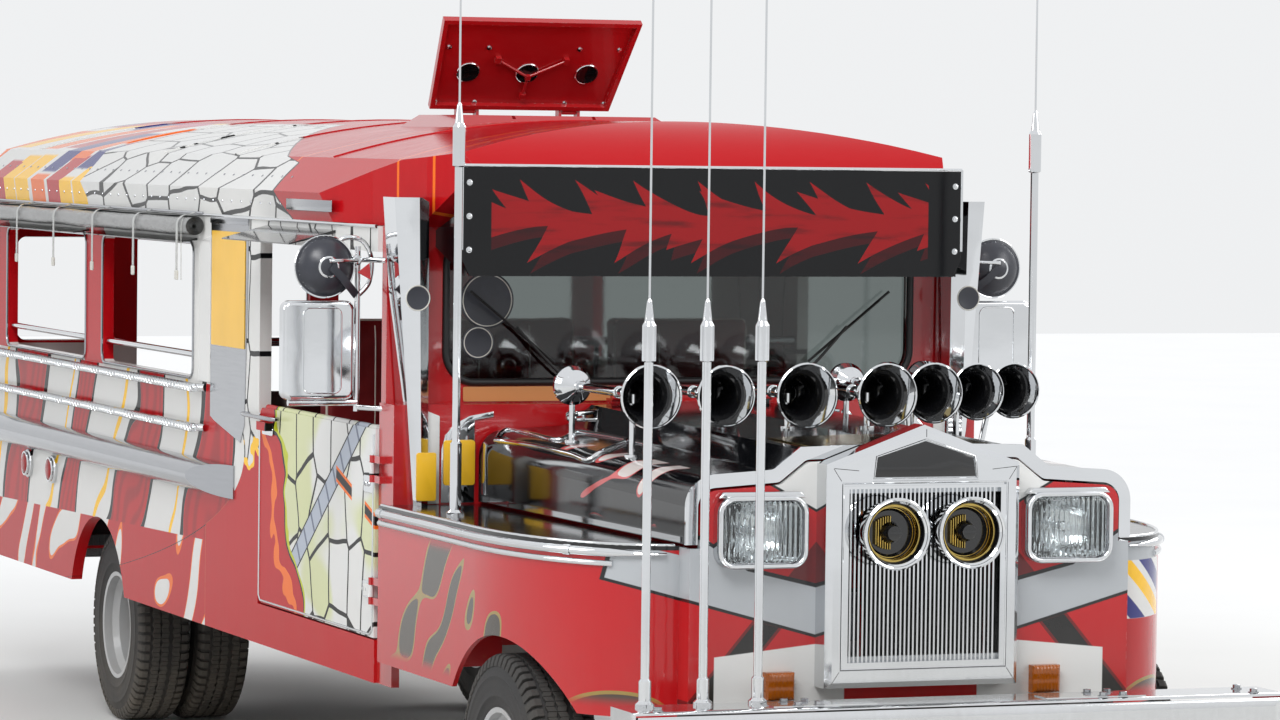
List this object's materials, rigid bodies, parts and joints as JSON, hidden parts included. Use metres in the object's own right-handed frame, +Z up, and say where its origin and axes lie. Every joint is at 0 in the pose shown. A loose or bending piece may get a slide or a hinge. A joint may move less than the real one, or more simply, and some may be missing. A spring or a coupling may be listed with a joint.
{
  "type": "jeepney",
  "caption": "Long-nosed open-sided passenger jeepney with half doors, two wall benches, a rear doorway, roof hatch, air horns and tall aerials.",
  "frame": {"origin": "on the ground under the middle of the vehicle's overall length and width", "axes": "+X to the vehicle's left, +Y to its rear, +Z up"},
  "size_m": [2.482, 7.4, 2.95],
  "materials": {
    "frame_black": "satin",
    "cast_iron": "rough",
    "pipe_steel": "dull",
    "chrome": "polished",
    "stainless": "bright",
    "red_paint": "gloss",
    "black_paint": "gloss",
    "white_paint": "gloss",
    "floor_grey": "satin",
    "glass": "clear",
    "amber_lens": "clear",
    "red_lens": "clear",
    "black_plastic": "grained",
    "red_vinyl": "grained vinyl",
    "clear_film": "cloudy",
    "tyre": "matt",
    "wheel_silver": "satin"
  },
  "bodies": {
    "chassis": {"chassis_frame": "frame_black", "front_axle": "frame_black", "rear_axle": "frame_black", "leaf_springs": "frame_black", "radiator": "frame_black", "fuel_tank": "frame_black", "engine_block": "cast_iron", "exhaust": "pipe_steel", "front_bumper": "chrome", "lamp_housings": "chrome", "grille_shell": "chrome", "grille_bars": "chrome", "side_rails": "chrome", "mirrors": "chrome", "aerials": "stainless", "pillar_wings": "stainless", "partition": "stainless", "rub_rails": "stainless", "rear_step": "stainless", "nose_panel": "red_paint", "front_fenders": "red_paint", "cowl": "red_paint", "windshield_frame": "red_paint", "side_wall_left": "red_paint", "side_wall_right": "red_paint", "rear_wall": "red_paint", "roof": "red_paint", "roof_coaming": "red_paint", "sun_visor": "black_paint", "drip_blades": "black_paint", "floor": "floor_grey", "seat_frames": "floor_grey", "headlamp_lenses": "glass", "windshield_glass": "glass", "turn_lamps": "amber_lens", "tail_lamps": "red_lens", "dashboard": "black_plastic", "cushions": "red_vinyl", "rain_rolls": "clear_film"},
    "hood_lid": {"hood": "black_paint", "hood_mouldings": "chrome", "air_horns": "chrome"},
    "left_door": {"door_left": "white_paint"},
    "right_door": {"door_right": "white_paint"},
    "hatch_lid": {"roof_hatch": "red_paint"},
    "left_knuckle": {"knuckle_left": "frame_black"},
    "right_knuckle": {"knuckle_right": "frame_black"},
    "left_front_wheel": {"front_tyre_left": "tyre", "front_wheel_left": "wheel_silver"},
    "right_front_wheel": {"front_tyre_right": "tyre", "front_wheel_right": "wheel_silver"},
    "left_rear_wheels": {"rear_tyres_left": "tyre", "rear_wheels_left": "wheel_silver"},
    "right_rear_wheels": {"rear_tyres_right": "tyre", "rear_wheels_right": "wheel_silver"},
    "steering": {"steering_wheel": "black_plastic"}
  },
  "joints": [
    {"name": "hood_hinge", "type": "hinge", "parent": "chassis", "child": "hood_lid", "pos_m": [0, -1.652, 1.347], "axis": [-1, 0, 0], "range_deg": [0, 40]},
    {"name": "left_door_hinge", "type": "hinge", "parent": "chassis", "child": "left_door", "pos_m": [0.976, -1.503, 0.945], "axis": [0, 0, -1], "range_deg": [0, 70]},
    {"name": "right_door_hinge", "type": "hinge", "parent": "chassis", "child": "right_door", "pos_m": [-0.976, -1.503, 0.945], "axis": [0, 0, 1], "range_deg": [0, 70]},
    {"name": "hatch_hinge", "type": "hinge", "parent": "chassis", "child": "hatch_lid", "pos_m": [0, -0.039, 2.22], "axis": [-1, 0, 0], "range_deg": [-51, 30]},
    {"name": "steer_right", "type": "hinge", "parent": "chassis", "child": "right_knuckle", "pos_m": [-0.7, -2.7, 0.345], "axis": [0, 0, 1], "range_deg": [-30, 30]},
    {"name": "steer_left", "type": "hinge", "parent": "chassis", "child": "left_knuckle", "pos_m": [0.7, -2.7, 0.345], "axis": [0, 0, 1], "range_deg": [-30, 30]},
    {"name": "steering_wheel_turn", "type": "hinge", "parent": "chassis", "child": "steering", "pos_m": [0.42, -1.13, 1.23], "axis": [0, 0.8904, 0.4551], "range_deg": [-450, 450]},
    {"name": "right_front_roll", "type": "hinge", "parent": "right_knuckle", "child": "right_front_wheel", "pos_m": [-0.89, -2.7, 0.345], "axis": [1, 0, 0], "continuous": true},
    {"name": "left_front_roll", "type": "hinge", "parent": "left_knuckle", "child": "left_front_wheel", "pos_m": [0.89, -2.7, 0.345], "axis": [1, 0, 0], "continuous": true},
    {"name": "right_rear_roll", "type": "hinge", "parent": "chassis", "child": "right_rear_wheels", "pos_m": [-0.689, 1.75, 0.345], "axis": [1, 0, 0], "continuous": true},
    {"name": "left_rear_roll", "type": "hinge", "parent": "chassis", "child": "left_rear_wheels", "pos_m": [0.689, 1.75, 0.345], "axis": [1, 0, 0], "continuous": true}
  ],
  "couplings": [
    {"joint": "steer_left", "follows": "steer_right", "ratio": 1},
    {"joint": "steering_wheel_turn", "follows": "steer_right", "ratio": 15}
  ]
}
